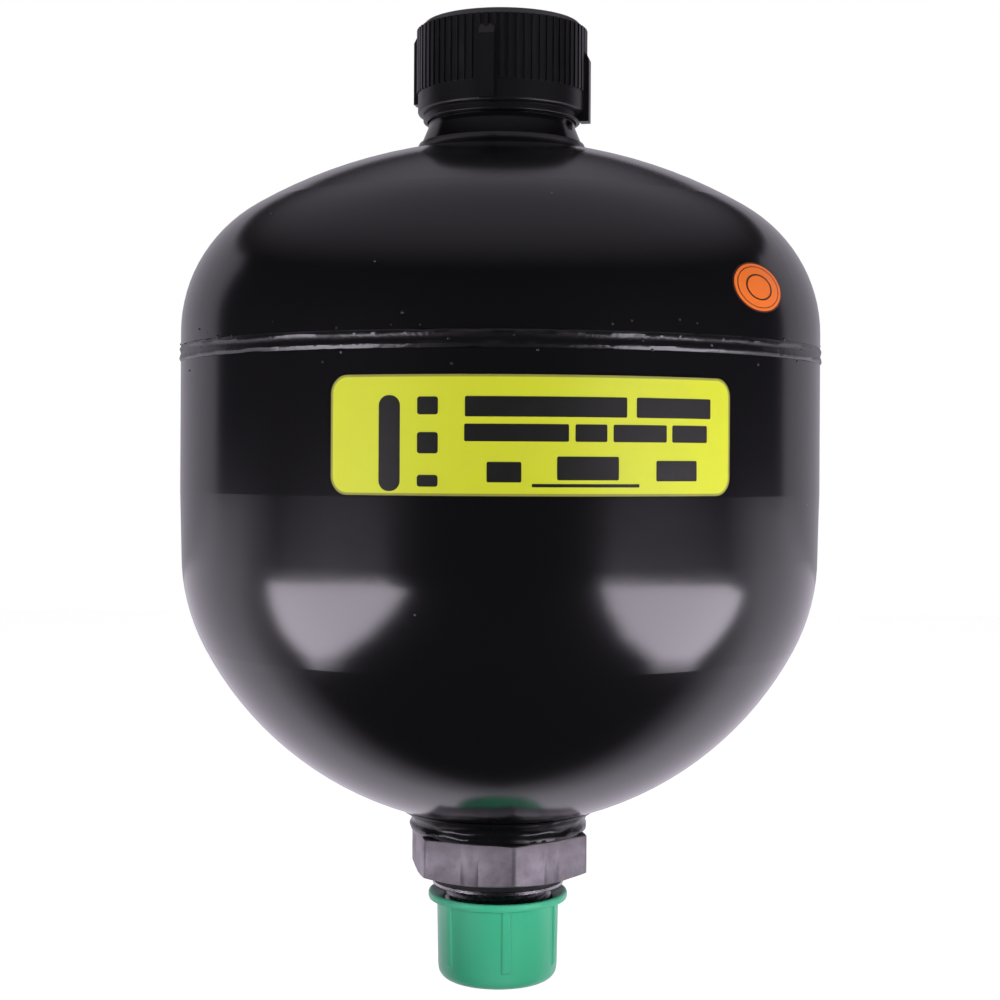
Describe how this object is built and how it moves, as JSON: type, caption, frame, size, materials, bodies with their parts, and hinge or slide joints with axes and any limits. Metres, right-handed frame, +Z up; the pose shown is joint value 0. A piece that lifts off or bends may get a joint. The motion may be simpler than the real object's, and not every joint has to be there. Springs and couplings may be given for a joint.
{
  "type": "diaphragm accumulator",
  "caption": "Weld-type hydraulic diaphragm accumulator: black drawn steel vessel, hex fluid port with a capped stud, gas boss with charging screw under a screw cap.",
  "frame": {"origin": "centre of the fluid port's sealing face, under its hex", "axes": "+Z up the vessel's axis from the fluid port to the gas port; -Y faces the middle of the label"},
  "size_m": [0.1608, 0.1608, 0.2412],
  "materials": {
    "vessel_paint": "semi-gloss black paint",
    "weld_paint": "painted weld bead",
    "port_steel": "dull phosphated steel with turned lands",
    "seal_rubber": "matt nitrile rubber",
    "poppet_alloy": "turned",
    "diaphragm_rubber": "moulded nitrile rubber",
    "ring_steel": "turned",
    "screw_steel": "zinc plated",
    "black_plastic": "moulded, slight gloss",
    "green_plastic": "moulded polyethylene",
    "label_film": "printed film",
    "sticker_film": "printed film"
  },
  "bodies": {
    "vessel": {"lower_shell": "vessel_paint", "upper_shell": "vessel_paint", "girth_weld": "weld_paint", "fluid_port": "port_steel", "fluid_port_weld": "weld_paint", "port_seal": "seal_rubber", "diaphragm": "diaphragm_rubber", "diaphragm_seat_ring": "ring_steel", "diaphragm_clamp_ring": "ring_steel", "gas_boss": "vessel_paint", "gas_boss_weld": "weld_paint", "rating_label": "label_film", "round_sticker": "sticker_film"},
    "poppet": {"poppet_button": "poppet_alloy", "poppet_washer": "poppet_alloy"},
    "screw": {"charging_screw": "screw_steel", "charging_screw_seal": "seal_rubber"},
    "cap": {"gas_cap": "black_plastic"},
    "protector": {"thread_protector": "green_plastic"}
  },
  "joints": [
    {"name": "poppet_lift", "type": "slide", "parent": "vessel", "child": "poppet", "axis": [0, 0, 1], "range_m": [0, 0.09], "deforming": ["diaphragm"]},
    {"name": "screw_turn", "type": "hinge", "parent": "vessel", "child": "screw", "pos_m": [0, 0, 0.201], "axis": [0, 0, 1], "range_deg": [0, 360]},
    {"name": "cap_off", "type": "slide", "parent": "vessel", "child": "cap", "axis": [0, 0, 1], "range_m": [0, 0.035]},
    {"name": "protector_off", "type": "slide", "parent": "vessel", "child": "protector", "axis": [0, 0, -1], "range_m": [0, 0.035]}
  ]
}
